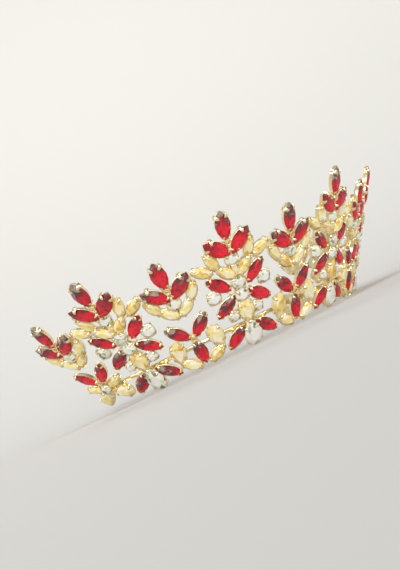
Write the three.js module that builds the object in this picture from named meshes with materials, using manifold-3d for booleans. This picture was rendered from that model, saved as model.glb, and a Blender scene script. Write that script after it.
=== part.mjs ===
// A bridal crown: an open-backed tiara of gilt castings set with red, champagne and clear cut stones.
// Five tall motifs and six low ones stand side by side on a cone that flares outwards and upwards.
// Each low motif is two castings, a crest with its garland and a flower below it.
// A thin rail runs behind the foot of the castings from end to end, and the lowest settings are dressed flat.
// Millimetres, +Z up, front towards -Y, origin at the bottom centre of the crown's bounding box.
import * as THREE from 'three';
import { mergeVertices } from 'three/addons/utils/BufferGeometryUtils.js';
import Module from 'manifold-3d';

// Driving dimensions of the crown, in millimetres, and its angles in degrees
const BASE_RADIUS = 75;
const FLARE_ANGLE = 33;
const MOTIFS_EACH_SIDE = 5;
const TALL_HEIGHT = 69;
const LOW_HEIGHT = 60;

// Stones with their settings: length along the stone and width across it
const CREST_LENGTH = 14;
const CREST_WIDTH = 7;
const NAVETTE_LENGTH = 13.4;
const NAVETTE_WIDTH = 6;
const LEAF_LENGTH = 10.8;
const LEAF_WIDTH = 5.2;
const ROUND_DIAMETER = 6.6;
const SMALL_ROUND_DIAMETER = 5.4;
const PEAR_LENGTH = 12.4;
const PEAR_WIDTH = 7.4;
const DROP_LENGTH = 13.4;
const DROP_WIDTH = 8.6;
const CLAW_SIZE = 4.6;
const HUB_SIZE = 7.2;

// How sharply a navette's sides draw in to its points, and how much narrower a pear's head is than its belly
const NAVETTE_POINT = 1.35;
const PEAR_TAPER = 0.42;

// How many petal lengths a motif takes up along the foot of the crown
const MOTIF_PETALS = 1.72;

// Depths, measured outwards from the back of the castings, and the solder round each setting
const CUP_DEPTH = 2.1;
const STONE_RISE = 1.5;
const LAYER_LIFT = 1;
const SOLDER = 0.25;

// The wires that tie settings behind their stones: how far out from the back they lie, and their diameter
const TIE_BACK = 0.9;
const TIE_DIAMETER = 1.3;

// The foot of a cup and the table of a stone, as shares of the size at its girdle
const CUP_FOOT = 0.92;
const TABLE_SHARE = 0.56;

// The plate under each crest stone, the stone's clearance on it and the stone's thickness
const PLATE_THICKNESS = 2;
const SEAT_GAP = 0.3;
const CREST_RISE = 2.5;

// The rail behind the castings: its height up the slope, section, gap behind them and reach past the ends
const RAIL_UP = 11;
const RAIL_WIDTH = 1.8;
const RAIL_THICKNESS = 1.1;
const RAIL_GAP = 0.4;
const RAIL_OVERRUN = 5;
const RAIL_STEPS = 22;

// How much of the lowest settings is dressed away to a flat foot
const FOOT_FLAT = 0.6;

const radians = THREE.MathUtils.degToRad;
const flare = radians(FLARE_ANGLE);
const motifStep = MOTIF_PETALS * NAVETTE_LENGTH / BASE_RADIUS;

const wasm = await Module();
wasm.setup();

const gilt = new THREE.MeshStandardMaterial({ color: 0xd9b35a, roughness: 0.3, metalness: 1 });
const ruby = new THREE.MeshStandardMaterial({ color: 0xb00f2c, roughness: 0.08, metalness: 0 });

// Each stone kind's size with its setting. A claw is a bare block of the casting between stones.
const STONES = {
  crest: { outline: 'navette', length: CREST_LENGTH, width: CREST_WIDTH, facets: 8 },
  navette: { outline: 'navette', length: NAVETTE_LENGTH, width: NAVETTE_WIDTH, facets: 8 },
  leaf: { outline: 'navette', length: LEAF_LENGTH, width: LEAF_WIDTH, facets: 8 },
  round: { outline: 'round', length: ROUND_DIAMETER, width: ROUND_DIAMETER, facets: 8 },
  smallRound: { outline: 'round', length: SMALL_ROUND_DIAMETER, width: SMALL_ROUND_DIAMETER, facets: 8 },
  pear: { outline: 'pear', length: PEAR_LENGTH, width: PEAR_WIDTH, facets: 8 },
  drop: { outline: 'pear', length: DROP_LENGTH, width: DROP_WIDTH, facets: 8, girdled: true },
  claw: { outline: 'round', length: CLAW_SIZE, width: CLAW_SIZE, facets: 4, height: CUP_DEPTH },
  hub: { outline: 'round', length: HUB_SIZE, width: HUB_SIZE, facets: 4, height: PLATE_THICKNESS },
};

// Charts of the castings. across is a share of the angle between motifs, up a share of the motif's height,
// turn the stone's lean in degrees from upright, outwards, and lift how many layers it stands proud.
// A row with across above 0 is set on both sides of the motif's axis.
const TALL_CREST = [
  { name: 'topCrest', stone: 'crest', across: 0, up: 0.897, turn: 0 },
  { stone: 'crest', across: 0.172, up: 0.762, turn: 47 },
];
const LOW_CREST = [
  { name: 'topCrest', stone: 'crest', across: 0, up: 0.883, turn: 0 },
  { stone: 'crest', across: 0.19, up: 0.742, turn: 47 },
];
const TALL_STONES = [
  { stone: 'hub', across: 0, up: 0.782, turn: 45, lift: 0 },
  { stone: 'round', across: 0, up: 0.654, turn: 0, lift: 0 },
  { stone: 'leaf', across: 0.29, up: 0.689, turn: 20, lift: 0 },
  { stone: 'leaf', across: 0.468, up: 0.648, turn: 58, lift: 0 },
  { stone: 'claw', across: 0.285, up: 0.615, turn: 0, lift: 0 },
  { stone: 'leaf', across: 0.14, up: 0.58, turn: 46, lift: 1 },
  { stone: 'round', across: 0, up: 0.49, turn: 0, lift: 1 },
  { stone: 'round', across: 0, up: 0.396, turn: 0, lift: 1 },
  { stone: 'claw', across: 0.115, up: 0.446, turn: 0, lift: 0 },
  { name: 'upperPetal', stone: 'navette', across: 0.308, up: 0.515, turn: 46, lift: 0 },
  { name: 'sideRound', stone: 'round', across: 0.432, up: 0.445, turn: 0, lift: 0 },
  { stone: 'navette', across: 0.295, up: 0.348, turn: 126, lift: 0 },
  { stone: 'smallRound', across: 0.224, up: 0.263, turn: 0, lift: 0 },
  { stone: 'pear', across: 0, up: 0.272, turn: 180, lift: 1 },
  { name: 'drop', stone: 'drop', across: 0, up: 0.098, turn: 0, lift: 1 },
  { stone: 'navette', across: 0.304, up: 0.106, turn: 133, lift: 0 },
];
const GARLAND_STONES = [
  { stone: 'hub', across: 0, up: 0.75, turn: 45, lift: 0 },
  { stone: 'round', across: 0, up: 0.619, turn: 0, lift: 0 },
  { stone: 'leaf', across: 0.309, up: 0.656, turn: 24, lift: 0 },
  { name: 'innerLeaf', stone: 'leaf', across: 0.138, up: 0.552, turn: 47, lift: 0 },
];
const FLOWER_STONES = [
  { name: 'hub', stone: 'claw', across: 0, up: 0.285, turn: 0, lift: 0 },
  { name: 'petal', stone: 'navette', across: 0.2, up: 0.37, turn: 41, lift: 0 },
  { stone: 'navette', across: 0, up: 0.15, turn: 0, lift: 0 },
  { name: 'foot', stone: 'claw', across: 0, up: 0.038, turn: 0, lift: 0 },
  { name: 'pear', stone: 'pear', across: 0.366, up: 0.216, turn: 169, lift: 0 },
  { stone: 'leaf', across: 0.26, up: 0.073, turn: 56, lift: 0 },
];
const END_FLOWER_STONES = [
  { stone: 'claw', across: 0, up: 0.29, turn: 0, lift: 0 },
  { name: 'petal', stone: 'navette', across: 0.2, up: 0.37, turn: 41, lift: 0 },
  { name: 'bud', stone: 'smallRound', across: 0, up: 0.224, turn: 0, lift: 1 },
  { stone: 'leaf', across: 0.256, up: 0.248, turn: 68, lift: 0 },
  { name: 'pear', stone: 'pear', across: 0.229, up: 0.138, turn: -58, lift: 0 },
];

// Which named settings a wire ties, on both sides of the axis. A spine runs up the axis, between the heights
// of its two settings.
const TALL_TIES = [
  { from: 'drop', to: 'topCrest', spine: true },
  { from: 'upperPetal', to: 'sideRound' },
];
const GARLAND_TIES = [
  { from: 'innerLeaf', to: 'topCrest', spine: true },
];
const FLOWER_TIES = [
  { from: 'foot', to: 'hub', spine: true },
  { from: 'petal', to: 'pear' },
];
const END_FLOWER_TIES = [
  { from: 'bud', to: 'pear' },
];

// Where a height up the slope lies, at an angle from the casting's axis: a frame whose X runs along the
// crown, Y up the slope and Z outwards
function slopeFrame(angle, upSlope, outwards = 0) {
  const radius = BASE_RADIUS + upSlope * Math.sin(flare) + outwards * Math.cos(flare);
  const rise = upSlope * Math.cos(flare) - outwards * Math.sin(flare);
  const along = new THREE.Vector3(Math.cos(angle), Math.sin(angle), 0);
  const up = new THREE.Vector3(
    Math.sin(flare) * Math.sin(angle), -Math.sin(flare) * Math.cos(angle), Math.cos(flare));
  const out = new THREE.Vector3().crossVectors(along, up);
  const place = new THREE.Vector3(radius * Math.sin(angle), -radius * Math.cos(angle), rise);
  return new THREE.Matrix4().makeBasis(along, up, out).setPosition(place);
}

// A point of a stone's outline, as shares of its half width and half length, at a turn from its head
function outlinePoint(outline, turn) {
  const x = Math.sin(turn);
  const y = Math.cos(turn);
  if (outline === 'navette') return [Math.sign(x) * Math.abs(x) ** NAVETTE_POINT, y];
  if (outline === 'pear') return [x * (1 - PEAR_TAPER * Math.max(y, 0)), y];
  return [x, y];
}

// A closed form stacked from rings of a stone's outline, each a share of its size at a depth
function stacked(rings, stone, allowance = 0) {
  const { facets } = stone;
  const corners = rings.flatMap(([share, depth]) => Array.from({ length: facets }, (_, facet) => {
    const [x, y] = outlinePoint(stone.outline, -2 * Math.PI * facet / facets);
    return [share * x * (stone.width / 2 + allowance), share * y * (stone.length / 2 + allowance), depth];
  }).flat());
  const top = facets * (rings.length - 1);
  const faces = [];
  for (let facet = 1; facet < facets - 1; facet++) {
    faces.push(0, facet + 1, facet, top, top + facet, top + facet + 1);
  }
  for (let start = 0; start < top; start += facets) {
    for (let facet = 0; facet < facets; facet++) {
      const [a, b] = [start + facet, start + (facet + 1) % facets];
      faces.push(a, b, b + facets, a, b + facets, a + facets);
    }
  }
  const form = new THREE.BufferGeometry();
  form.setAttribute('position', new THREE.Float32BufferAttribute(corners, 3));
  form.setIndex(faces);
  return form;
}

// A closed geometry as a solid, and a solid as a geometry
function solidOf(geometry, frame = new THREE.Matrix4()) {
  const bare = new THREE.BufferGeometry();
  bare.setAttribute('position', geometry.getAttribute('position').clone());
  bare.setIndex(geometry.index.clone());
  const merged = mergeVertices(bare.applyMatrix4(frame), 1e-4);
  return new wasm.Manifold(new wasm.Mesh({
    numProp: 3,
    vertProperties: merged.getAttribute('position').array,
    triVerts: new Uint32Array(merged.index.array),
  }));
}
function geometryOf(solid) {
  const mesh = solid.getMesh();
  const geometry = new THREE.BufferGeometry();
  geometry.setAttribute('position', new THREE.BufferAttribute(mesh.vertProperties, 3));
  geometry.setIndex(new THREE.BufferAttribute(mesh.triVerts, 1));
  return geometry;
}

// The rows of a chart with their mirror images, each with its side of the axis
function bothSides(chart) {
  return chart.flatMap((row) => {
    const sides = row.across > 0 ? [1, -1] : [1];
    return sides.map((side) => ({ ...row, side }));
  });
}

// The frame of a charted stone, turned in the plane of the slope
function stoneFrame(row, height) {
  const frame = slopeFrame(row.side * row.across * motifStep, row.up * height);
  return frame.multiply(new THREE.Matrix4().makeRotationZ(-row.side * radians(row.turn)));
}

// A stone fused with its setting: eight facets up to the table, on a cup up to its girdle if it is a drop
function setStone(row, height) {
  const stone = STONES[row.stone];
  const girdle = row.lift * LAYER_LIFT + CUP_DEPTH;
  const table = [TABLE_SHARE, stone.height ?? girdle + STONE_RISE];
  const rings = stone.girdled ? [[CUP_FOOT, 0], [1, girdle], table] : [[1, 0], table];
  return solidOf(stacked(rings, stone, SOLDER), stoneFrame(row, height));
}

// The plate that a crest stone sits on
function crestPlate(row, height) {
  const rings = [[CUP_FOOT, 0], [1, PLATE_THICKNESS]];
  return solidOf(stacked(rings, STONES[row.stone], SOLDER), stoneFrame(row, height));
}

// A wire from the middle of one setting to the middle of another, behind their stones
function tieWire(from, to, height) {
  const frames = [from, to].map((end) => slopeFrame(end.across * motifStep, end.up * height, TIE_BACK));
  const [start, end] = frames.map((frame) => new THREE.Vector3().setFromMatrixPosition(frame));
  const [outStart, outEnd] = frames.map((frame) => new THREE.Vector3().setFromMatrixColumn(frame, 2));
  const along = end.clone().sub(start).normalize();
  const side = outStart.add(outEnd).cross(along).normalize();
  const frame = new THREE.Matrix4().makeBasis(side, along, side.clone().cross(along));
  frame.setPosition(start.clone().add(end).divideScalar(2));
  const wire = new THREE.CylinderGeometry(TIE_DIAMETER / 2, TIE_DIAMETER / 2, start.distanceTo(end), 3);
  return solidOf(wire, frame);
}

// The wires of a casting
function tieWires(ties, rows, height) {
  return ties.flatMap(({ from, to, spine }) => {
    const ends = [from, to].map((name) => rows.find((row) => row.name === name));
    const sides = spine ? [0] : [1, -1];
    return sides.map((side) => {
      const [start, end] = ends.map(({ across, up }) => ({ across: side * across, up }));
      return tieWire(start, end, height);
    });
  });
}

// A block that reaches from the floor plane down, to dress the lowest settings flat
function belowPlane(level) {
  const side = 4 * BASE_RADIUS;
  const block = new THREE.BoxGeometry(side, side, side);
  return solidOf(block.translate(0, 0, level - side / 2));
}

// One casting: settings with their stones, and crest plates, joined where they touch and by wires behind them
function casting(height, ties, stones, crest = []) {
  const pieces = [
    ...bothSides(stones).map((row) => setStone(row, height)),
    ...bothSides(crest).map((row) => crestPlate(row, height)),
    ...tieWires(ties, [...stones, ...crest], height),
  ];
  return pieces.reduce((joined, piece) => joined.add(piece));
}

// A crest stone by itself, cut with a flat back, eight facets and a table
function crestStone() {
  const base = PLATE_THICKNESS + SEAT_GAP;
  return stacked([[1, base], [TABLE_SHARE, base + CREST_RISE]], STONES.crest);
}

// The rail: a flat bar bent round the cone just inside the castings, with plain square ends
function railShape() {
  const reach = MOTIFS_EACH_SIDE * motifStep + RAIL_OVERRUN / BASE_RADIUS;
  const inner = -RAIL_GAP - RAIL_THICKNESS;
  const section = [[-1, -RAIL_GAP], [1, -RAIL_GAP], [1, inner], [-1, inner]];
  const corners = [];
  for (let step = 0; step <= RAIL_STEPS; step++) {
    const angle = reach * (2 * step / RAIL_STEPS - 1);
    section.forEach(([side, out]) => {
      const corner = slopeFrame(angle, RAIL_UP + side * RAIL_WIDTH / 2, out);
      corners.push(...new THREE.Vector3().setFromMatrixPosition(corner).toArray());
    });
  }
  const faces = [0, 1, 2, 0, 2, 3];
  for (let step = 0; step < RAIL_STEPS; step++) {
    for (let side = 0; side < 4; side++) {
      const [a, b] = [4 * step + side, 4 * step + (side + 1) % 4];
      faces.push(a, a + 4, b, b, a + 4, b + 4);
    }
  }
  const end = 4 * RAIL_STEPS;
  faces.push(end, end + 2, end + 1, end, end + 3, end + 2);
  const rail = new THREE.BufferGeometry();
  rail.setAttribute('position', new THREE.Float32BufferAttribute(corners, 3));
  rail.setIndex(faces);
  return rail;
}

const tallCasting = casting(TALL_HEIGHT, TALL_TIES, TALL_STONES, TALL_CREST);
const footLevel = tallCasting.boundingBox().min[2] + FOOT_FLAT;
const dressed = (solid) => geometryOf(solid.subtract(belowPlane(footLevel)));
const shapes = {
  tall: dressed(tallCasting),
  garland: geometryOf(casting(LOW_HEIGHT, GARLAND_TIES, GARLAND_STONES, LOW_CREST)),
  flower: dressed(casting(LOW_HEIGHT, FLOWER_TIES, FLOWER_STONES)),
  endFlower: dressed(casting(LOW_HEIGHT, END_FLOWER_TIES, END_FLOWER_STONES)),
  crestStone: crestStone(),
};

function addPiece(group, name, shape, material) {
  const piece = new THREE.Mesh(shape, material);
  piece.name = name;
  group.add(piece);
  return piece;
}

// The crest stones of one motif, each in its tray
function addCrestStones(group, motif, chart, height) {
  bothSides(chart).forEach((row) => {
    const side = row.across === 0 ? 'top' : row.side > 0 ? 'right' : 'left';
    const stone = addPiece(group, `crest_stone_${motif}_${side}`, shapes.crestStone, ruby);
    stone.applyMatrix4(stoneFrame(row, height));
  });
}

const crown = new THREE.Group();
addPiece(crown, 'back_rail', railShape(), gilt);
for (let place = -MOTIFS_EACH_SIDE; place <= MOTIFS_EACH_SIDE; place++) {
  const motif = String(place + MOTIFS_EACH_SIDE + 1).padStart(2, '0');
  const group = new THREE.Group();
  group.rotation.z = place * motifStep;
  crown.add(group);
  if (Math.abs(place) % 2 === 0) {
    addPiece(group, `tall_motif_${motif}`, shapes.tall, gilt);
    addCrestStones(group, motif, TALL_CREST, TALL_HEIGHT);
  } else {
    addPiece(group, `garland_${motif}`, shapes.garland, gilt);
    const flower = Math.abs(place) === MOTIFS_EACH_SIDE ? shapes.endFlower : shapes.flower;
    addPiece(group, `flower_${motif}`, flower, gilt);
    addCrestStones(group, motif, LOW_CREST, LOW_HEIGHT);
  }
}

// The crown stands on its feet, with the middle of its box over the origin
const box = new THREE.Box3().setFromObject(crown, true);
crown.position.set(-(box.min.x + box.max.x) / 2, -(box.min.y + box.max.y) / 2, -footLevel);

export default crown;
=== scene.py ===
# %% [markdown]
# A bridal crown in gilt metal and cut glass, finished for display. The real crown is a half round of small
# castings. Each casting is a spray of cups and wires in one piece, and claws hold a red, champagne or clear
# stone in every cup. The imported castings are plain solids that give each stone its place. Every setting and
# stone is made again here with its real cut, in the same place, and the plain castings are hidden behind
# them.

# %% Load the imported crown
import math

import bmesh
import bpy
from mathutils import Matrix, Vector


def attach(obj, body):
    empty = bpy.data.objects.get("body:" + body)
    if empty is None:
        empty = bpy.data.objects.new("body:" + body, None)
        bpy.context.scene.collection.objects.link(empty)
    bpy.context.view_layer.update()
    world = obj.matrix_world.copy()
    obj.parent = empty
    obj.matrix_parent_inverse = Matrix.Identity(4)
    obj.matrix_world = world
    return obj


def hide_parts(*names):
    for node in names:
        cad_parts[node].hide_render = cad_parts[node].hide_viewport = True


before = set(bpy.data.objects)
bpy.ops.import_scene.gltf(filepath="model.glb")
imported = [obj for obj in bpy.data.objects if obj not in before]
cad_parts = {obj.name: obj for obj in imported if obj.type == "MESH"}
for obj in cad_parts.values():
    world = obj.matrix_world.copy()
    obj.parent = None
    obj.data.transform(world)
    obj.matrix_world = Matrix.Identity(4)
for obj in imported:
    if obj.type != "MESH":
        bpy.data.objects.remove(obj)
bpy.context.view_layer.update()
print("packed nodes:", len(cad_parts))

# %% [markdown]
# The castings stand on a cone that flares outwards and upwards, with its axis behind the middle of the
# crown. A place on it is an angle round the axis, a height up the slope and a distance out from the slope.
# Working in those three numbers keeps every stone on the curve, which placing them by X, Y and Z would not.

# %% The cone that carries the castings, in metres and radians
MM = 0.001
BASE_RADIUS = 75 * MM
FLARE = math.radians(33)
CONE_AXIS = Vector((0, 52.837, 1.246)) * MM
NAVETTE_LENGTH_MM = 13.4
NAVETTES_PER_STEP = 1.72
MOTIF_STEP = NAVETTES_PER_STEP * NAVETTE_LENGTH_MM * MM / BASE_RADIUS
MOTIFS_EACH_SIDE = 5
MOTIFS = range(-MOTIFS_EACH_SIDE, MOTIFS_EACH_SIDE + 1)
TALL_HEIGHT = 69 * MM
LOW_HEIGHT = 60 * MM
print("degrees from motif to motif:", round(math.degrees(MOTIF_STEP), 1))


# %% A place on the slope
def slope_frame(angle, up_slope, outwards=0.0):
    """Where a place on the cone lies, and the directions along the crown, up the slope and out from it."""
    radius = BASE_RADIUS + up_slope * math.sin(FLARE) + outwards * math.cos(FLARE)
    rise = up_slope * math.cos(FLARE) - outwards * math.sin(FLARE)
    along = Vector((math.cos(angle), math.sin(angle), 0))
    up = Vector((math.sin(FLARE) * math.sin(angle), -math.sin(FLARE) * math.cos(angle), math.cos(FLARE)))
    place = Vector((radius * math.sin(angle), -radius * math.cos(angle), rise)) + CONE_AXIS
    return place, along, up, along.cross(up)


print("foot of the front motif:", [round(c, 4) for c in slope_frame(0, 0)[0]])

# %% [markdown]
# Stones of this kind are sold in set shapes and sizes. Three outlines and eight sizes make the whole crown:
# a navette is pointed at both ends, a pear at one, and a round at none. A formula gives each outline,
# because one formula serves the stone, the cup that hugs it and the claws that stand round it. The sizes
# are the stones' own, in millimetres. The last column says how far round the outline each claw stands, in
# degrees from the head.

# %% Stones: outline, length, width and claws
STONES = {
    "crest": ("navette", 14.0, 7.0, (52, 140, 220, 308)),
    "navette": ("navette", NAVETTE_LENGTH_MM, 6.0, (38, 142, 218, 322)),
    "leaf": ("navette", 10.8, 5.2, (40, 140, 220, 320)),
    "bud": ("navette", 6.2, 3.4, (50, 130, 230, 310)),
    "round": ("round", 6.6, 6.6, (45, 135, 225, 315)),
    "small_round": ("round", 5.4, 5.4, (45, 135, 225, 315)),
    "pear": ("pear", 12.4, 7.4, (0, 62, 128, 232, 298)),
    "drop": ("pear", 13.4, 8.6, (0, 62, 128, 232, 298)),
}
OUTLINES = ("navette", "round", "pear")
print("sizes of stone:", len(STONES))

# %% An outline
NAVETTE_POINT = 1.6
PEAR_TAPER = 0.42


def outline_point(outline, turn):
    """A point of an outline as shares of the half width and half length, at a turn from the stone's head."""
    x, y = math.sin(turn), math.cos(turn)
    if outline == "navette":
        return math.copysign(abs(x) ** NAVETTE_POINT, x), y
    if outline == "pear":
        return x * (1 - PEAR_TAPER * max(y, 0)), y
    return x, y


for outline in OUTLINES:
    widest = max(outline_point(outline, math.radians(turn))[0] for turn in range(180))
    print(outline, "widest share:", round(widest, 2))

# %% [markdown]
# Each casting is a chart of stones: how far across from its axis as a share of the step between motifs, how
# far up as a share of its height, the stone's lean in degrees, how many layers it stands proud, and its
# glass. A stone off the axis is set on both sides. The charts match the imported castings, so nothing shifts.

# %% Charts: kind, across, up, turn, lift, glass
TALL_CREST = [("crest", 0, 0.897, 0, 0, "red"), ("crest", 0.172, 0.762, 47, 0, "red")]
LOW_CREST = [("crest", 0, 0.883, 0, 0, "red"), ("crest", 0.19, 0.742, 47, 0, "red")]
TALL_STONES = [
    ("round", 0, 0.654, 0, 0, "clear"),
    ("bud", 0, 0.583, 0, 0, "champagne"),
    ("leaf", 0.29, 0.689, 20, 0, "champagne"),
    ("leaf", 0.468, 0.648, 58, 0, "champagne"),
    ("leaf", 0.14, 0.58, 46, 1, "champagne"),
    ("round", 0, 0.49, 0, 1, "clear"),
    ("round", 0, 0.396, 0, 1, "clear"),
    ("navette", 0.308, 0.515, 46, 0, "red"),
    ("round", 0.432, 0.445, 0, 0, "clear"),
    ("navette", 0.295, 0.348, 126, 0, "red"),
    ("small_round", 0.224, 0.263, 0, 0, "clear"),
    ("pear", 0, 0.272, 180, 1, "champagne"),
    ("drop", 0, 0.098, 0, 1, "clear"),
    ("navette", 0.304, 0.106, 133, 0, "red"),
]
GARLAND_STONES = [
    ("round", 0, 0.619, 0, 0, "clear"),
    ("leaf", 0.309, 0.656, 24, 0, "champagne"),
    ("leaf", 0.138, 0.552, 47, 0, "champagne"),
]
FLOWER_STONES = [
    ("navette", 0.2, 0.37, 41, 0, "red"),
    ("navette", 0, 0.15, 0, 0, "red"),
    ("pear", 0.366, 0.216, 169, 0, "champagne"),
    ("leaf", 0.26, 0.073, 56, 0, "champagne"),
]
END_FLOWER_STONES = [
    ("navette", 0.2, 0.37, 41, 0, "red"),
    ("small_round", 0, 0.224, 0, 1, "clear"),
    ("leaf", 0.256, 0.248, 68, 0, "champagne"),
    ("pear", 0.229, 0.138, -58, 0, "champagne"),
]
print("rows in the tall motif's chart:", len(TALL_CREST + TALL_STONES))

# %% From a chart to places
LAYER_LIFT = 1 * MM
CUP_DEPTH = 2.1 * MM
CREST_DEPTH = 3.2 * MM


def both_sides(across):
    """A row on the axis is made once, and any other row on both sides of it."""
    return (1, -1) if across else (1,)


def set_places(motif, chart, height, family):
    """Where the stones of a chart stand on one motif, with their directions and sizes."""
    rows = []
    for kind, across, up_share, turn, lift, glass in chart:
        for side in both_sides(across):
            angle = (motif + side * across) * MOTIF_STEP
            place, along, up, out = slope_frame(angle, up_share * height)
            lean = side * math.radians(turn)
            head = math.sin(lean) * along + math.cos(lean) * up
            _, length, width, _ = STONES[kind]
            depth = CREST_DEPTH if kind == "crest" else CUP_DEPTH + lift * LAYER_LIFT
            rows.append({
                "kind": kind, "glass": glass, "family": family, "place": place, "out": out, "head": head,
                "half_width": width / 2 * MM, "half_length": length / 2 * MM, "depth": depth})
    return rows


places = []
for motif in MOTIFS:
    if motif % 2 == 0:
        places += set_places(motif, TALL_CREST, TALL_HEIGHT, "crest")
        places += set_places(motif, TALL_STONES, TALL_HEIGHT, "tall")
    else:
        flower = END_FLOWER_STONES if abs(motif) == MOTIFS_EACH_SIDE else FLOWER_STONES
        places += set_places(motif, LOW_CREST, LOW_HEIGHT, "crest")
        places += set_places(motif, GARLAND_STONES, LOW_HEIGHT, "garland")
        places += set_places(motif, flower, LOW_HEIGHT, "flower")
print("stones:", len(places))

# %% [markdown]
# Stones, cups and bosses are stacks of rings of corners. They could be modelled with modifiers, but a piece
# that is repeated hundreds of times has to keep to few faces, and mesh code places each of them.

# %% A ring of corners, and a mesh with its faces turned outwards
GIRDLE_POINTS = 16


def add_ring(mesh, outline, share, height, count, shift=0.0):
    """A ring of corners on an outline, at a share of its size."""
    ring = []
    for step in range(count):
        x, y = outline_point(outline, 2 * math.pi * (step + shift) / count)
        ring.append(mesh.verts.new((share * x, share * y, height)))
    return ring


def plain_mesh(name, built):
    """The built corners and faces as a mesh, with every face turned outwards."""
    bmesh.ops.recalc_face_normals(built, faces=built.faces)
    data = bpy.data.meshes.new(name)
    built.to_mesh(data)
    built.free()
    return data


print("corners round a stone:", GIRDLE_POINTS)

# %% [markdown]
# A cut stone has a flat table, a ring of star facets, kite-shaped main facets, thin facets above the girdle
# and a plain keel behind it. It is built once for each outline, one unit to each half size, and then set
# hundreds of times, so it keeps to a few dozen faces. Flat faces matter more than many: each one must flash
# by itself. Every facet carries a number of its own, which picks its painted reflection, and the facets of
# the keel are marked, because foil is laid there.

# %% A cut stone of one outline, in unit size, with its girdle at height 0 and its table at height 1
TABLE_SHARE = 0.52
STAR_SHARE = 0.78
STAR_RISE = 0.62
GIRDLE_BAND = 0.10
KEEL_SHARE = 0.30
KEEL_DEPTH = 0.85


def cut_stone(outline):
    stone = bmesh.new()
    mains = GIRDLE_POINTS // 2
    table = add_ring(stone, outline, TABLE_SHARE, 1.0, mains)
    stars = add_ring(stone, outline, STAR_SHARE, STAR_RISE, mains, 0.5)
    top = add_ring(stone, outline, 1.0, GIRDLE_BAND, GIRDLE_POINTS)
    low = add_ring(stone, outline, 1.0, -GIRDLE_BAND, GIRDLE_POINTS)
    keel = add_ring(stone, outline, KEEL_SHARE, -KEEL_DEPTH, mains)
    stone.faces.new(table)
    for i in range(mains):
        after, before = (i + 1) % mains, i - 1
        first, second, third = 2 * i, 2 * i + 1, (2 * i + 2) % GIRDLE_POINTS
        stone.faces.new((table[i], table[after], stars[i]))
        stone.faces.new((table[i], stars[i], top[first], stars[before]))
        stone.faces.new((stars[i], top[second], top[first]))
        stone.faces.new((stars[i], top[third], top[second]))
        stone.faces.new((keel[i], low[first], low[second]))
        stone.faces.new((keel[i], low[second], keel[after]))
        stone.faces.new((low[second], low[third], keel[after]))
    for i in range(GIRDLE_POINTS):
        after = (i + 1) % GIRDLE_POINTS
        stone.faces.new((top[i], top[after], low[after], low[i]))
    stone.faces.new(list(reversed(keel)))
    return plain_mesh("cut_" + outline, stone)


print("faces of a cut stone:", len(cut_stone("round").polygons))

# %% Mark the facets: a number for the painted reflection of each, and the ones that carry foil
GOLDEN_SHARE = 0.618034  # steps of this share fall evenly between 0 and 1, and no two neighbours are alike


def marked_stone(outline):
    data = cut_stone(outline)
    facet = data.attributes.new("facet", "FLOAT", "FACE")
    facet.data.foreach_set("value", [(GOLDEN_SHARE * i) % 1 for i in range(len(data.polygons))])
    foiled = data.attributes.new("foiled", "BOOLEAN", "FACE")
    foiled.data.foreach_set("value", [face.center.z < -GIRDLE_BAND for face in data.polygons])
    return bpy.data.objects.new("cut_" + outline, data)


cuts = {outline: marked_stone(outline) for outline in OUTLINES}
print("facets with foil:", sum(face.value for face in cuts["round"].data.attributes["foiled"].data))

# %% [markdown]
# Each stone sits in a thin cup with a rounded rim and a dished back. It could be a ring with Solidify and
# Bevel on it, but here the cup is a stack of rings of the stone's own outline, so it hugs the stone all
# round. The dish matters from behind: a flat back would send all of a lamp's light one way, and a dished
# one keeps a small highlight wherever it is seen from.

# %% A cup of one outline, in unit size, from the slope at height 0 to its rim at height 1
CUP_RINGS = [
    (0.45, 0.30), (0.84, 0.56), (0.93, 0.94), (0.965, 1.03), (1.0, 0.98), (0.975, 0.80), (0.93, 0.55),
    (0.89, 0.16), (0.80, 0.0), (0.68, 0.03), (0.50, 0.16), (0.22, 0.24)]


def add_bands(mesh, rings):
    """Faces from each ring to the next."""
    for ring, following in zip(rings, rings[1:]):
        for i in range(len(ring)):
            after = (i + 1) % len(ring)
            mesh.faces.new((ring[i], ring[after], following[after], following[i]))


def cup(outline):
    built = bmesh.new()
    rings = [add_ring(built, outline, share, height, GIRDLE_POINTS) for share, height in CUP_RINGS]
    built.faces.new(rings[0])
    add_bands(built, rings)
    built.faces.new(list(reversed(rings[-1])))
    return bpy.data.objects.new("cup_" + outline, plain_mesh("cup_" + outline, built))


cups = {outline: cup(outline) for outline in OUTLINES}
print("faces of a cup:", len(cups["round"].data.polygons))

# %% [markdown]
# Claws hold the stones: tapered tabs that rise from the cup and are bent over the girdle with a pusher. One
# claw is a short sweep of a flat section, thinner towards its tip. A curve with a bevel would give it a
# round section, so its section is turned along the path by hand. The table gives each station in
# millimetres, with the stone on the +Y side and the girdle at height 0.

# %% A claw: distance towards the stone, height, width, thickness
CLAW_PATH = [
    (-0.30, -1.30, 0.95, 0.30), (-0.34, -0.20, 0.90, 0.34), (-0.22, 0.42, 0.82, 0.36),
    (0.20, 0.92, 0.72, 0.34), (0.62, 1.16, 0.58, 0.28), (0.86, 1.20, 0.34, 0.16)]
CLAW_SECTION = [(-1, -1), (1, -1), (1, 0.3), (0.45, 1), (-0.45, 1), (-1, 0.3)]


def add_tube(mesh, rings):
    """Faces from each ring to the next, with both ends closed."""
    add_bands(mesh, rings)
    mesh.faces.new(list(reversed(rings[0])))
    mesh.faces.new(rings[-1])


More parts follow.
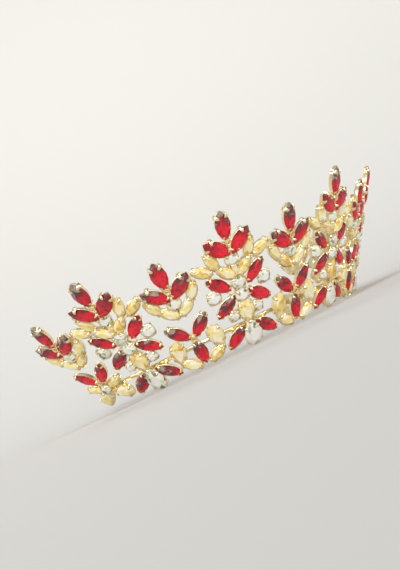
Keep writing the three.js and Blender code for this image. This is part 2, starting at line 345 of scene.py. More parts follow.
def claw():
    built = bmesh.new()
    rings = []
    for i, (y, z, width, thickness) in enumerate(CLAW_PATH):
        before, after = CLAW_PATH[max(i - 1, 0)], CLAW_PATH[min(i + 1, len(CLAW_PATH) - 1)]
        run = Vector((0, after[0] - before[0], after[1] - before[1])).normalized()
        away = Vector((0, -run.z, run.y))
        rings.append([
            built.verts.new((Vector((side * width / 2, y, z)) + away * thickness / 2 * lift) * MM)
            for side, lift in CLAW_SECTION])
    add_tube(built, rings)
    return bpy.data.objects.new("claw", plain_mesh("claw", built))


claw_shape = claw()
print("faces of a claw:", len(claw_shape.data.polygons))

# %% [markdown]
# One small function adds a node with its settings and links, for the geometry and the materials alike.
# Colours are picked on screen as sRGB hex values, while Blender works in linear light, so one function
# turns them.

# %% A node, and a colour from hex
def add_node(tree, kind, inputs=None, **settings):
    """Adds a node, sets its settings, and links or sets each of its inputs."""
    node = tree.nodes.new(kind)
    for name, value in settings.items():
        setattr(node, name, value)
    for key, value in (inputs or {}).items():
        if isinstance(value, bpy.types.NodeSocket):
            tree.links.new(value, node.inputs[key])
        else:
            node.inputs[key].default_value = value
    return node


def colour(hex_value):
    """An sRGB hex colour as the linear numbers that Blender works in."""
    shares = [int(hex_value[i:i + 2], 16) / 255 for i in (1, 3, 5)]
    return tuple(s / 12.92 if s <= 0.04045 else ((s + 0.055) / 1.055) ** 2.4 for s in shares) + (1.0,)


print("half grey in linear light:", round(colour("#808080")[0], 3))

# %% [markdown]
# A setter places the same stone again and again along the casting. Geometry Nodes do that here: points
# carry each stone's place, directions and size, the cut stone or cup is instanced on them, made real, and
# given its finish. Copying meshes in a loop would work too, but with a tree a change to one cut reaches
# every stone.

# %% A node group with named inputs
def new_tree(name, inputs):
    """An empty geometry tree with named inputs, and the outputs of its input node."""
    tree = bpy.data.node_groups.new(name, "GeometryNodeTree")
    tree.interface.new_socket("Geometry", in_out="INPUT", socket_type="NodeSocketGeometry")
    for label, kind in inputs.items():
        tree.interface.new_socket(label, in_out="INPUT", socket_type="NodeSocket" + kind)
    tree.interface.new_socket("Geometry", in_out="OUTPUT", socket_type="NodeSocketGeometry")
    return tree, add_node(tree, "NodeGroupInput").outputs


set_on_points, given = new_tree("set_on_points", {
    "Piece": "Object", "Finish": "Material", "Foil": "Material", "Rim": "Float", "Stand on girdle": "Float",
    "Seed": "Int"})
print("sockets of the tree:", len(set_on_points.interface.items_tree))

# %% Copies of a piece on points, each moved out to the girdle, turned and sized
READ_VALUES = {
    "out": "FLOAT_VECTOR", "head": "FLOAT_VECTOR", "size": "FLOAT_VECTOR", "depth": "FLOAT", "rise": "FLOAT",
    "foiled": "BOOLEAN"}
read = {}
for label, kind in READ_VALUES.items():
    node = add_node(set_on_points, "GeometryNodeInputNamedAttribute", {"Name": label}, data_type=kind)
    read[label] = node.outputs[0]
to_girdle = add_node(
    set_on_points, "ShaderNodeMath", {0: read["depth"], 1: given["Stand on girdle"]}, operation="MULTIPLY")
offset = add_node(
    set_on_points, "ShaderNodeVectorMath", {0: read["out"], "Scale": to_girdle.outputs[0]}, operation="SCALE")
moved = add_node(set_on_points, "GeometryNodeSetPosition", {
    "Geometry": given["Geometry"], "Offset": offset.outputs[0]})
turned = add_node(
    set_on_points, "FunctionNodeAxesToRotation",
    {"Primary Axis": read["out"], "Secondary Axis": read["head"]}, primary_axis="Z", secondary_axis="Y")
wider = add_node(set_on_points, "ShaderNodeCombineXYZ", {"X": given["Rim"], "Y": given["Rim"]})
full_size = add_node(
    set_on_points, "ShaderNodeVectorMath", {0: read["size"], 1: wider.outputs[0]}, operation="ADD")
copied = add_node(set_on_points, "GeometryNodeObjectInfo", {"Object": given["Piece"]})
copies = add_node(set_on_points, "GeometryNodeInstanceOnPoints", {
    "Points": moved.outputs[0], "Instance": copied.outputs["Geometry"],
    "Rotation": turned.outputs[0], "Scale": full_size.outputs[0]})
print("nodes that place the copies:", len(set_on_points.nodes))

# %% Mark each copy with a number by chance, and each corner with its share of the way up the stone
# The share up the stone sets where the stones' painted shade falls: higher corners are painted darker.
STONE_SPAN = 9 * MM
chance = add_node(set_on_points, "FunctionNodeRandomValue", {"Seed": given["Seed"]}, data_type="FLOAT")
numbered = add_node(
    set_on_points, "GeometryNodeStoreNamedAttribute",
    {"Geometry": copies.outputs[0], "Name": "stone", "Value": chance.outputs["Value"]},
    data_type="FLOAT", domain="INSTANCE")
corner = add_node(set_on_points, "GeometryNodeInputPosition").outputs[0]
corner_height = add_node(set_on_points, "ShaderNodeSeparateXYZ", {0: corner}).outputs["Z"]
middle = add_node(
    set_on_points, "GeometryNodeStoreNamedAttribute",
    {"Geometry": numbered.outputs[0], "Name": "rise", "Value": corner_height},
    data_type="FLOAT", domain="INSTANCE")
real = add_node(set_on_points, "GeometryNodeRealizeInstances", {"Geometry": middle.outputs[0]})
above = add_node(set_on_points, "ShaderNodeMath", {0: corner_height, 1: read["rise"]}, operation="SUBTRACT")
up_share = add_node(set_on_points, "ShaderNodeMapRange", {
    "Value": above.outputs[0], "From Min": -0.5 * STONE_SPAN, "From Max": 0.5 * STONE_SPAN})
risen = add_node(
    set_on_points, "GeometryNodeStoreNamedAttribute",
    {"Geometry": real.outputs[0], "Name": "rise", "Value": up_share.outputs[0]},
    data_type="FLOAT", domain="POINT")
print("nodes that place and mark:", len(set_on_points.nodes))

# %% Give the copies their finish, and foil where it is laid
finished = add_node(set_on_points, "GeometryNodeSetMaterial", {
    "Geometry": risen.outputs[0], "Material": given["Finish"]})
backed = add_node(set_on_points, "GeometryNodeSetMaterial", {
    "Geometry": finished.outputs[0], "Selection": read["foiled"], "Material": given["Foil"]})
add_node(set_on_points, "NodeGroupOutput", {"Geometry": backed.outputs[0]})
print("nodes of the whole tree:", len(set_on_points.nodes))


# %% Run a tree, and keep the result as a plain mesh
def run_tree(name, data, tree, values):
    """The plain mesh object that a tree makes of points or lines, with its inputs set before it runs."""
    holder = bpy.data.objects.new(name, data)
    bpy.context.scene.collection.objects.link(holder)
    modifier = holder.modifiers.new("make", "NODES")
    modifier.node_group = tree
    sockets = {item.name: item.identifier for item in tree.interface.items_tree if item.in_out == "INPUT"}
    for label, value in values.items():
        modifier[sockets[label]] = value
    bpy.context.view_layer.update()
    evaluated = holder.evaluated_get(bpy.context.evaluated_depsgraph_get())
    made_data = bpy.data.meshes.new_from_object(evaluated)
    bpy.data.objects.remove(holder)
    made_data.name = name
    made = bpy.data.objects.new(name, made_data)
    bpy.context.scene.collection.objects.link(made)
    return made


def set_pieces(name, rows, piece, finish, foil=None, rim=0.0, on_girdle=1.0, seed=1):
    """Copies of one piece on every row, as a plain mesh object."""
    data = bpy.data.meshes.new(name + "_points")
    data.from_pydata([row["place"] for row in rows], [], [])
    for key in ("out", "head", "size"):
        layer = data.attributes.new(key, "FLOAT_VECTOR", "POINT")
        layer.data.foreach_set("vector", [c for row in rows for c in row[key]])
    data.attributes.new("depth", "FLOAT", "POINT").data.foreach_set("value", [row["depth"] for row in rows])
    made = run_tree(name, data, set_on_points, {
        "Piece": piece, "Finish": finish, "Foil": foil or finish, "Rim": rim, "Stand on girdle": on_girdle,
        "Seed": seed})
    print(name, "copies:", len(rows), "faces:", len(made.data.polygons))
    return made


print("trees so far:", ", ".join(group.name for group in bpy.data.node_groups))

# %% [markdown]
# Cut glass looks alive because no two facets show the same thing: some show the foil, some a lamp, some the
# dark. One even tint would look like painted plastic. So each colour comes from a share between 0 and 1 that
# picks from a row of colours, and it carries painted light. The share grows up the stone, so the upper part
# is painted darker as shade. It also changes by chance from stone to stone, from facet to facet as painted
# reflections, and in small cells. These are painted glints, which stand for the back facets that are seen
# through the table.

# %% The tint of a stone, with painted shade and painted reflections
# Painted glints: small cells of each stone are painted lighter or darker, for the back facets seen through
# the table.
GLINT_CELL = 1.9 * MM
GLINT = 0.4
STONE_STRIDE = 7.3  # takes the facets of each stone to other tints than its neighbour's


def tint_with_painted_light(tree, stops, lean, spread, shift):
    """A colour from the stops: lean paints shade up the stone, spread paints reflections by facet, shift is
    by stone.
    """
    facet, stone, rise = (
        add_node(tree, "ShaderNodeAttribute", attribute_name=label).outputs["Fac"]
        for label in ("facet", "stone", "rise"))
    place = add_node(tree, "ShaderNodeTexCoord").outputs["Object"]
    cells = add_node(tree, "ShaderNodeTexVoronoi", {"Vector": place, "Scale": 1 / GLINT_CELL})
    cell = add_node(tree, "ShaderNodeSeparateColor", {"Color": cells.outputs["Color"]}).outputs["Red"]
    mixed = add_node(tree, "ShaderNodeMath", {0: stone, 1: STONE_STRIDE, 2: facet}, operation="MULTIPLY_ADD")
    chance = add_node(tree, "ShaderNodeMath", {0: mixed.outputs[0]}, operation="FRACT")
    # The share is painted light: height up the stone adds painted shade, and facet and cell add painted
    # reflections and glints.
    total = 0.5 - 0.5 * (lean + spread + shift + GLINT)
    for value, weight in ((rise, lean), (chance.outputs[0], spread), (cell, GLINT), (stone, shift)):
        added = add_node(tree, "ShaderNodeMath", {0: value, 1: weight, 2: total}, operation="MULTIPLY_ADD")
        total = added.outputs[0]
    tint = add_node(tree, "ShaderNodeValToRGB", {"Fac": total})
    elements = tint.color_ramp.elements
    while len(elements) < len(stops):
        elements.new(0.5)
    for element, (position, tone) in zip(elements, stops):
        element.position = position
        element.color = colour(tone)
    return tint.outputs["Color"]


print("glint cells along a navette:", round(NAVETTE_LENGTH_MM * MM / GLINT_CELL, 1))

# %% [markdown]
# The stones are lead crystal: glass with lead oxide, which bends light more than window glass, pressed in a
# mould and polished, so each facet is flat and nearly as smooth as a mirror. Pure transmission over foil
# came out dark, because few light paths get in, off the foil and out again. So a part of the light is
# spread inside the stone, and in champagne and clear stones a smaller part is mirrored, as their foil does.

# %% Cut crystal
CRYSTAL_IOR = 1.6
CRYSTAL_ROUGHNESS = 0.03


def new_finish(name):
    """An empty material of one finish, and its tree."""
    made = bpy.data.materials.new(name)
    made.use_nodes = True
    made.node_tree.nodes.clear()
    return made, made.node_tree


def crystal(name, stops, lean, spread, shift, clearness, mirror=0.0):
    """Cut glass in its tint, with painted shade up each stone and a painted reflection on each facet."""
    made, tree = new_finish(name)
    shader = add_node(tree, "ShaderNodeBsdfPrincipled", {
        "Base Color": tint_with_painted_light(tree, stops, lean, spread, shift), "Roughness": CRYSTAL_ROUGHNESS,
        "IOR": CRYSTAL_IOR, "Transmission Weight": clearness, "Metallic": mirror})
    add_node(tree, "ShaderNodeOutputMaterial", {"Surface": shader.outputs[0]})
    return made


# Ruby glass is coloured through, vivid red, with painted light over it:
# maroon higher up each stone as painted shade, and smoky pale near the top and on some facets as painted
# reflection.
glass = {}
glass["red"] = crystal(
    "ruby_red_cut_crystal",
    [(0.0, "#ff1c40"), (0.46, "#f41236"), (0.68, "#962838"), (0.88, "#70464a"), (1.0, "#cfbcb0")],
    lean=1.0, spread=0.4, shift=0.5, clearness=0.68)
# Champagne glass is faintly tinted. Its facets are painted from near white to the gold of its foil as painted
# reflections,
# and a little darker up the stone as painted shade.
glass["champagne"] = crystal(
    "champagne_cut_crystal",
    [(0.0, "#fffef4"), (0.3, "#fff6c8"), (0.62, "#fdec9e"), (0.86, "#f4d67c"), (1.0, "#deb058")],
    lean=0.25, spread=0.85, shift=0.3, clearness=0.45, mirror=0.15)
# Clear glass shows its foil and the room as painted reflection: mostly white, a few small grey-green facets.
glass["clear"] = crystal(
    "clear_cut_crystal", [(0.0, "#ffffff"), (0.6, "#fffff2"), (0.85, "#e4e6c8"), (1.0, "#8e9070")],
    lean=0.2, spread=1.0, shift=0.3, clearness=0.42, mirror=0.3)
print("kinds of glass:", ", ".join(glass))

# %% [markdown]
# Foil is a bright metal film, pressed on the back facets and lacquered. It throws light back out through
# the stone, and is what makes a thin stone bright. It could be a metal sheet behind the glass, but then
# light would also have to pass the stone's own back faces, so the back facets themselves carry it.

# %% Foil
# Spread weighs the painted reflection of each facet, and shift moves each stone's tone by chance.
FOIL_SPREAD = 0.7
FOIL_SHIFT = 0.3
FOIL_ROUGHNESS = 0.25


def foil(name, stops, lean):
    """Bright foil on the back facets, with a painted reflection on each facet and painted shade up the stone.
    """
    made, tree = new_finish(name)
    shader = add_node(tree, "ShaderNodeBsdfPrincipled", {
        "Base Color": tint_with_painted_light(tree, stops, lean, FOIL_SPREAD, FOIL_SHIFT), "Metallic": 1.0,
        "Roughness": FOIL_ROUGHNESS})
    add_node(tree, "ShaderNodeOutputMaterial", {"Surface": shader.outputs[0]})
    return made


foils = {
    # Silver under red lacquer: painted red low on the stone, and brown higher up as painted shade.
    "red": foil(
        "red_lacquered_foil", [(0.0, "#ff9aa4"), (0.4, "#f03048"), (0.7, "#8a1c28"), (1.0, "#6a3c42")], 1.0),
    # Thin gold: warm light from behind the champagne stones, its facets painted white to amber as painted
    # reflections.
    "champagne": foil("gold_foil", [(0.0, "#ffffff"), (0.5, "#fff2b8"), (1.0, "#d8a850")], 0.4),
    # Silver: white light, with painted shade on a few grey facets, as if they looked away from the lamps.
    "clear": foil("silver_foil", [(0.0, "#ffffff"), (0.6, "#f4f4ea"), (1.0, "#90907e")], 0.4),
}
print("foils:", ", ".join(made.name for made in foils.values()))

# %% [markdown]
# The settings are a zinc alloy, cast, tumbled smooth and plated with thin pale gold. The eye gets soft warm
# highlights, a little duller in patches where handling has worn the polish. An even tone and polish would
# look like plastic, so both change a little from place to place, with one noise.

# %% Pale gold plating
POLISH_PATCHES = 220.0  # to the metre, so one patch is about 4.5 mm
POLISH_DETAIL = 3.0
POLISHED, WORN = 0.17, 0.32
gilt, tree = new_finish("pale_gold_plating")
place = add_node(tree, "ShaderNodeTexCoord").outputs["Object"]
patches = add_node(tree, "ShaderNodeTexNoise", {
    "Vector": place, "Scale": POLISH_PATCHES, "Detail": POLISH_DETAIL}).outputs["Fac"]
tone = add_node(tree, "ShaderNodeValToRGB", {"Fac": patches})
tone.color_ramp.elements[0].color = colour("#f0d79a")
tone.color_ramp.elements[1].color = colour("#fdf0cc")
polish = add_node(tree, "ShaderNodeMapRange", {"Value": patches, "To Min": POLISHED, "To Max": WORN})
shader = add_node(tree, "ShaderNodeBsdfPrincipled", {
    "Base Color": tone.outputs["Color"], "Metallic": 1.0, "Roughness": polish.outputs[0]})
add_node(tree, "ShaderNodeOutputMaterial", {"Surface": shader.outputs[0]})
print("metal:", gilt.name)

# %% [markdown]
# The stones are set first. All stones of one kind and glass make one piece. One object for each stone would
# be easier to move by hand, but the pieces would run to hundreds, and each kind gets its own seed this way.

# %% Set the stones
STONE_RISE = 1.5 * MM
for row in places:
    row["size"] = (row["half_width"], row["half_length"], STONE_RISE)
pieces = []
for glass_name in glass:
    for kind in STONES:
        rows = [row for row in places if row["kind"] == kind and row["glass"] == glass_name]
        if rows:
            pieces.append(set_pieces(
                f"{kind}_stones_{glass_name}", rows, cuts[STONES[kind][0]], glass[glass_name],
                foils[glass_name], seed=len(pieces)))

# %% [markdown]
# Every stone gets its cup, a rim wider than the stone. On a crest the stones stand proud of the casting, so
# their cups start on top of the wires, and look light from the side. A cup as deep as the stone's whole
# distance from the slope would look like a bucket there.

# %% Cups
RIM = 0.25 * MM
CREST_FOOT = 1.1 * MM
settings = []
for family in ("crest", "tall", "garland", "flower"):
    foot = CREST_FOOT if family == "crest" else 0
    for outline in OUTLINES:
        rows = [
            dict(row, place=row["place"] + foot * row["out"],
                 size=(row["half_width"], row["half_length"], row["depth"] - foot))
            for row in places if row["family"] == family and STONES[row["kind"]][0] == outline]
        if rows:
            settings.append(set_pieces(
                f"{family}_{outline}_cups", rows, cups[outline], gilt, rim=RIM, on_girdle=0.0))

# %% [markdown]
# A claw stands square to the edge of its stone and reaches inwards. The edge's direction at a claw comes
# from two points of the outline close to it, which works for any outline. The two upper claws of a crest
# stone are big and broad, and catch the light as the brightest dots of the crown.

# %% Claws: each size is the width, reach and height as shares of the claw's own
CREST_CLAW = (2.0, 1.5, 1.15)
SMALL_CLAW = (1.25, 1.1, 1.05)
EDGE_STEP = 0.02


def claw_row(row, degrees):
    """Where one claw stands on the edge of a stone, and which way it reaches."""
    turn = math.radians(degrees)
    along = row["head"].cross(row["out"])
    edge = []
    for step in (-EDGE_STEP, 0, EDGE_STEP):
        x, y = outline_point(STONES[row["kind"]][0], turn + step)
        edge.append(along * x * row["half_width"] + row["head"] * y * row["half_length"])
    inward = (edge[2] - edge[0]).normalized().cross(row["out"])
    if inward.dot(edge[1]) > 0:
        inward = -inward
    big = row["kind"] == "crest" and math.cos(turn) > 0
    return {
        "place": row["place"] + edge[1], "out": row["out"], "head": inward,
        "size": CREST_CLAW if big else SMALL_CLAW, "depth": row["depth"]}


claw_rows = [claw_row(row, degrees) for row in places for degrees in STONES[row["kind"]][3]]
settings.append(set_pieces("claws", claw_rows, claw_shape, gilt))

# %% [markdown]
# Round wires run behind the cups and join them into one casting. They follow the stones, from middle to
# middle, and show in the gaps between them. The charts give their points as the stones' charts do, across
# and up, and a second tree sweeps a circle along each run.

# %% Charts of the wires
TALL_WIRES = [
    [(0, 0.098), (0, 0.272), (0, 0.443), (0, 0.53), (0, 0.654), (0, 0.782), (0, 0.897)],
    [(0, 0.782), (0.172, 0.762)],
    [(0, 0.53), (0.14, 0.58), (0.285, 0.63), (0.29, 0.689)],
    [(0.285, 0.63), (0.468, 0.648)],
    [(0, 0.443), (0.308, 0.515), (0.432, 0.445)],
    [(0, 0.443), (0.295, 0.348), (0.224, 0.263), (0, 0.272)],
    [(0, 0.098), (0.304, 0.106)]]
GARLAND_WIRES = [
    [(0, 0.53), (0, 0.619), (0, 0.75), (0, 0.883)],
    [(0, 0.75), (0.19, 0.742)],
    [(0, 0.53), (0.138, 0.552), (0.309, 0.656)]]
FLOWER_WIRES = [
    [(0, 0.038), (0, 0.15), (0, 0.285), (0.2, 0.37)],
    [(0, 0.038), (0.26, 0.073), (0.366, 0.216), (0.2, 0.37)]]
END_FLOWER_WIRES = [
    [(0, 0.224), (0, 0.285), (0.2, 0.37)],
    [(0, 0.224), (0.256, 0.248)],
    [(0, 0.224), (0.229, 0.138)]]
print("runs of wire in a tall motif's chart:", len(TALL_WIRES))

# %% A tree that sweeps a round wire along lines
sweep, given = new_tree("round_wire", {"Radius": "Float", "Sides": "Int", "Finish": "Material"})
lines = add_node(sweep, "GeometryNodeMeshToCurve", {"Mesh": given["Geometry"]})
ring = add_node(sweep, "GeometryNodeCurvePrimitiveCircle", {
    "Resolution": given["Sides"], "Radius": given["Radius"]})
swept = add_node(sweep, "GeometryNodeCurveToMesh", {
    "Curve": lines.outputs[0], "Profile Curve": ring.outputs["Curve"], "Fill Caps": True})
real = add_node(sweep, "GeometryNodeRealizeInstances", {"Geometry": swept.outputs[0]})
finished = add_node(sweep, "GeometryNodeSetMaterial", {
    "Geometry": real.outputs[0], "Material": given["Finish"]})
add_node(sweep, "NodeGroupOutput", {"Geometry": finished.outputs[0]})
print("nodes that sweep a wire:", len(sweep.nodes))

# %% The wires of all the motifs
WIRE_OUT = 0.9 * MM
WIRE_RADIUS = 0.5 * MM
WIRE_SIDES = 8
points, edges = [], []
for motif in MOTIFS:
    if motif % 2 == 0:
        charts = [(TALL_WIRES, TALL_HEIGHT)]
    else:
        flower = END_FLOWER_WIRES if abs(motif) == MOTIFS_EACH_SIDE else FLOWER_WIRES
        charts = [(GARLAND_WIRES, LOW_HEIGHT), (flower, LOW_HEIGHT)]
    for chart, height in charts:
        for run in chart:
            for side in both_sides(any(across for across, _ in run)):
                edges += [(len(points) + i, len(points) + i + 1) for i in range(len(run) - 1)]
                points += [
                    slope_frame((motif + side * across) * MOTIF_STEP, up * height, WIRE_OUT)[0]
                    for across, up in run]
wire_lines = bpy.data.meshes.new("wire_lines")
wire_lines.from_pydata(points, edges, [])
settings.append(run_tree(
    "frame_wires", wire_lines, sweep, {"Radius": WIRE_RADIUS, "Sides": WIRE_SIDES, "Finish": gilt}))
print("stretches of wire:", len(edges))

# %% [markdown]
# Where petals meet, a small boss is cast into the motif, a ring round a deep dish, which reads as a bright
# dot. A torus would leave its hole open, so the boss is a stack of round rings instead, and stays one
# closed shell.

# %% A boss: radius and height of each ring, in millimetres
BOSS_RINGS = [
    (1.3, -0.6), (1.7, 0.3), (1.8, 0.9), (1.6, 1.4), (1.2, 1.6), (0.8, 1.35), (0.65, 0.8), (0.6, 0.2)]
BOSS_SIDES = 12


def boss():
    built = bmesh.new()
    turns = [2 * math.pi * side / BOSS_SIDES for side in range(BOSS_SIDES)]
    rings = []
    for radius, height in BOSS_RINGS:
        rings.append([
            built.verts.new((radius * MM * math.cos(turn), radius * MM * math.sin(turn), height * MM))
            for turn in turns])
    add_tube(built, rings)
    return bpy.data.objects.new("boss", plain_mesh("boss", built))


boss_shape = boss()
print("faces of a boss:", len(boss_shape.data.polygons))

# %% Bosses where petals meet: how far up as a share of the motif's height, and how far out in millimetres
TALL_SPOTS = [(0.782, 2.6)]
LOW_SPOTS = [(0.75, 2.6), (0.285, 1.5)]
END_SPOTS = [(0.75, 2.6), (0.30, 1.7)]
boss_rows = []
for motif in MOTIFS:
    if motif % 2 == 0:
        spots, height = TALL_SPOTS, TALL_HEIGHT
    elif abs(motif) == MOTIFS_EACH_SIDE:
        spots, height = END_SPOTS, LOW_HEIGHT
    else:
        spots, height = LOW_SPOTS, LOW_HEIGHT
    for up_share, out_mm in spots:
        place, along, up, out = slope_frame(motif * MOTIF_STEP, up_share * height)
        boss_rows.append({"place": place, "out": out, "head": up, "size": (1, 1, 1), "depth": out_mm * MM})
settings.append(set_pieces("hub_bosses", boss_rows, boss_shape, gilt))

# %% [markdown]
# One flat bar runs behind the foot of all the castings and holds them in a row. A bar like this is drawn
# flat, bent to the curve, and its ends are filed thin so that they don't scratch. It is swept by hand along
# the slope, because a curve's bevel would twist on a cone.

# %% The rail behind: its section is up and out, in millimetres
RAIL_UP = 11 * MM
RAIL_OVERHANG = 5 * MM
RAIL_REACH = MOTIFS_EACH_SIDE * MOTIF_STEP + RAIL_OVERHANG / BASE_RADIUS
RAIL_STEPS = 120
RAIL_MIDDLE = -0.95
RAIL_SECTION = [
    (-0.9, -0.6), (-0.7, -0.4), (0.7, -0.4), (0.9, -0.6),
    (0.9, -1.3), (0.7, -1.5), (-0.7, -1.5), (-0.9, -1.3)]
RAIL_ENDS = (0.45, 0.85, 1.0)


def rail():
    built = bmesh.new()
    rings = []
    for step in range(RAIL_STEPS + 1):
        angle = RAIL_REACH * (2 * step / RAIL_STEPS - 1)
        from_end = min(step, RAIL_STEPS - step)
        share = RAIL_ENDS[min(from_end, len(RAIL_ENDS) - 1)]
        rings.append([
            built.verts.new(slope_frame(
                angle, RAIL_UP + up * share * MM, (RAIL_MIDDLE + (out - RAIL_MIDDLE) * share) * MM)[0])
            for up, out in RAIL_SECTION])
    add_tube(built, rings)
    data = plain_mesh("back_rail_bar", built)
    data.materials.append(gilt)
    made = bpy.data.objects.new("back_rail_bar", data)
    bpy.context.scene.collection.objects.link(made)
    return made


rail_bar = rail()
print("faces of the rail:", len(rail_bar.data.polygons))

# %% [markdown]
# Solder joins the rail to the castings. A drop of it flows flat and a little wider on one side, and plating
# covers it with the rest, so each is a small rounded lump of the same gold.

# %% Solder between the rail and the cups
SOLDER_OUT = -0.3 * MM
SOLDER_SIZE = (1.3 * MM, 1.2 * MM, 0.6 * MM)
SOLDER_FLOW = 0.25
SOLDER_SPOTS = (-0.33, 0, 0.33)


def solder():
    built = bmesh.new()
    bmesh.ops.create_icosphere(built, subdivisions=2, radius=1.0)
    for vertex in built.verts:
        vertex.co.x *= 1 + SOLDER_FLOW * vertex.co.z
    return bpy.data.objects.new("solder", plain_mesh("solder", built))


solder_rows = []
for motif in MOTIFS:
    for across in SOLDER_SPOTS:
        if abs(motif + across) <= MOTIFS_EACH_SIDE:
            place, along, up, out = slope_frame((motif + across) * MOTIF_STEP, RAIL_UP)
            solder_rows.append({
                "place": place, "out": out, "head": up, "size": SOLDER_SIZE, "depth": SOLDER_OUT})
settings.append(set_pieces("rail_solder", solder_rows, solder(), gilt))

# %% [markdown]
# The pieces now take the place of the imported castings. The crown stands on its lowest cups, which are
# dressed flat, so nothing may reach below the floor. Metal is shaded smooth, but keeps the edges that are
# really sharp, and the stones stay flat, facet by facet.

# %% Put the pieces on the crown
SHARP_EDGE = math.radians(35)
for piece in pieces + settings:
    for vertex in piece.data.vertices:
        vertex.co.z = max(vertex.co.z, 0)
    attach(piece, "root")
castings = [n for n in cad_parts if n.startswith(("tall", "garland", "flower"))]
crest_nodes = [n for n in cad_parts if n.startswith("crest_stone")]
for piece in pieces:
    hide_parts(*(crest_nodes if piece.name.startswith("crest") else castings))
for piece in settings:
    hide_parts(*castings)
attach(rail_bar, "root")
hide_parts("back_rail")
for piece in settings + [rail_bar]:
    piece.data.shade_smooth()
    piece.data.set_sharp_from_angle(angle=SHARP_EDGE)
print("pieces:", len(pieces + settings) + 1, "in place of castings:", len(castings))

# %% [markdown]
# The camera stands to the left of the crown's front, just above the floor, and leans as it does in the
# photo. Its place could be set by hand in the viewport. Angles and a distance from the cone's axis say the
# same, and can be measured against the photo. The aim and the lens put the crown where it is in the frame
# there.

# %% Camera
CAMERA_DISTANCE = 6.25 * BASE_RADIUS
CAMERA_AZIMUTH = math.radians(-48)
CAMERA_ELEVATION = math.radians(1.1)
CAMERA_ROLL = math.radians(-25.8)
AIM = Vector((-0.0200, 0.0264, 0.0379))
LENS_MM = 77.7
SENSOR_MM = 36
CLIP_START = 2 * MM


def direction(azimuth, elevation):
    """The direction out to a place seen at an azimuth from the front and an elevation."""
    level = math.cos(elevation)
    return Vector((math.sin(azimuth) * level, -math.cos(azimuth) * level, math.sin(elevation)))


camera_place = CONE_AXIS + direction(CAMERA_AZIMUTH, CAMERA_ELEVATION) * CAMERA_DISTANCE
camera_data = bpy.data.cameras.new("camera")
camera_data.lens = LENS_MM
camera_data.sensor_width = SENSOR_MM
camera_data.sensor_fit = "HORIZONTAL"
camera_data.clip_start = CLIP_START
camera = bpy.data.objects.new("camera", camera_data)
bpy.context.scene.collection.objects.link(camera)
look = (AIM - camera_place).to_track_quat("-Z", "Y").to_matrix().to_4x4()
camera.matrix_world = Matrix.Translation(camera_place) @ look @ Matrix.Rotation(CAMERA_ROLL, 4, "Z")
bpy.context.scene.camera = camera
print("camera height above the floor in mm:", round(camera_place.z / MM, 1))

# %% [markdown]
# The crown stands on pale paper that curves up on all sides, so no view shows an edge. It is flat where the
# crown stands and then rises in nearly a quarter of a circle. It casts no shadow, so the lamps shine
# through it.

# %% Paper cove, in metres and degrees
COVE_FLAT = 0.45
COVE_BEND = 2.2
COVE_ANGLES = range(3, 88, 3)
COVE_SIDES = 96
cove_profile = [(COVE_FLAT, 0.0)]
for angle in COVE_ANGLES:
    bend = math.radians(angle)
    cove_profile.append((COVE_FLAT + COVE_BEND * math.sin(bend), COVE_BEND - COVE_BEND * math.cos(bend)))
cove_points, cove_faces = [(0, 0, 0)], []
for radius, height in cove_profile:
    for side in range(COVE_SIDES):
        turn = 2 * math.pi * side / COVE_SIDES
        cove_points.append((radius * math.cos(turn), radius * math.sin(turn), height))
for side in range(COVE_SIDES):
    after = (side + 1) % COVE_SIDES
    cove_faces.append((0, 1 + side, 1 + after))
    for ring in range(len(cove_profile) - 1):
        base = 1 + ring * COVE_SIDES
        cove_faces.append((base + side, base + COVE_SIDES + side, base + COVE_SIDES + after, base + after))
cove_data = bpy.data.meshes.new("cove")
cove_data.from_pydata(cove_points, [], cove_faces)
cove_data.shade_smooth()
cove = bpy.data.objects.new("cove", cove_data)
bpy.context.scene.collection.objects.link(cove)
cove.visible_shadow = False
print("cove faces:", len(cove_faces))

# %% Matt studio paper: uncoated, so it gives the eye an even pale ground with no highlight
PAPER_ROUGHNESS = 0.9
paper, tree = new_finish("pale_paper")
shader = add_node(tree, "ShaderNodeBsdfPrincipled", {
    "Base Color": colour("#b0aeaa"), "Roughness": PAPER_ROUGHNESS})
add_node(tree, "ShaderNodeOutputMaterial", {"Surface": shader.outputs[0]})
cove_data.materials.append(paper)
print("paper:", paper.name)

# %% [markdown]
# A soft sky fills the shadows and gives the metal something to mirror. It is brightest high up behind the
# crown and grey near the floor, as in a studio with a lit ceiling. Metal under an even sky would look flat.

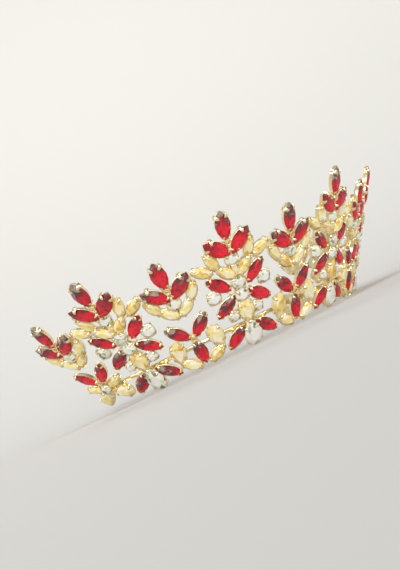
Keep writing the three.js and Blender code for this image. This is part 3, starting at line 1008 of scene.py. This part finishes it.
# %% Sky
SKY_BRIGHTEST = Vector((-0.25, 0.35, 0.9))
SKY_FROM, SKY_TO = 0.2, 0.95
SKY_STRENGTH = 0.55
world = bpy.data.worlds.new("studio")
world.use_nodes = True
bpy.context.scene.world = world
sky = world.node_tree
sky.nodes.clear()
toward = add_node(sky, "ShaderNodeTexCoord").outputs["Generated"]
facing = add_node(
    sky, "ShaderNodeVectorMath", {0: toward, 1: SKY_BRIGHTEST.normalized()}, operation="DOT_PRODUCT")
near = add_node(sky, "ShaderNodeMapRange", {
    "Value": facing.outputs["Value"], "From Min": SKY_FROM, "From Max": SKY_TO})
glow = add_node(sky, "ShaderNodeValToRGB", {"Fac": near.outputs[0]})
glow.color_ramp.elements[0].color = colour("#6f7276")
glow.color_ramp.elements[1].color = colour("#ffffff")
light = add_node(sky, "ShaderNodeBackground", {"Color": glow.outputs["Color"], "Strength": SKY_STRENGTH})
add_node(sky, "ShaderNodeOutputWorld", {"Surface": light.outputs[0]})
print("sky nodes:", len(sky.nodes))

# %% [markdown]
# Large soft boxes light jewels: each facet that mirrors one flashes. Lamps far away with a wide angle do
# the same here, and unlike area lamps near the floor they leave no bright pool on the paper. The big ones
# light the front, one side, the top and the back, and three small weak ones low down only add glints.

# %% Lamps: azimuth, elevation and spread in degrees, and strength
LAMPS = {
    "key": (-50, 20, 12, 2.2),
    "front_low": (8, 18, 9, 1.3),
    "side_low": (-105, 20, 9, 1.1),
    "top": (-30, 78, 25, 0.9),
    "behind": (150, 28, 16, 0.8),
    "glint_left": (-75, 11, 6, 0.45),
    "glint_middle": (-26, 10, 6, 0.45),
    "glint_right": (36, 12, 6, 0.45),
}
for name, (azimuth, elevation, spread, strength) in LAMPS.items():
    lamp_data = bpy.data.lights.new(name, "SUN")
    lamp_data.angle = math.radians(spread)
    lamp_data.energy = strength
    lamp = bpy.data.objects.new(name, lamp_data)
    bpy.context.scene.collection.objects.link(lamp)
    shining = -direction(math.radians(azimuth), math.radians(elevation))
    lamp.matrix_world = shining.to_track_quat("-Z", "Y").to_matrix().to_4x4()
bpy.context.scene.view_settings.view_transform = "Standard"
print("lamps:", len(LAMPS))
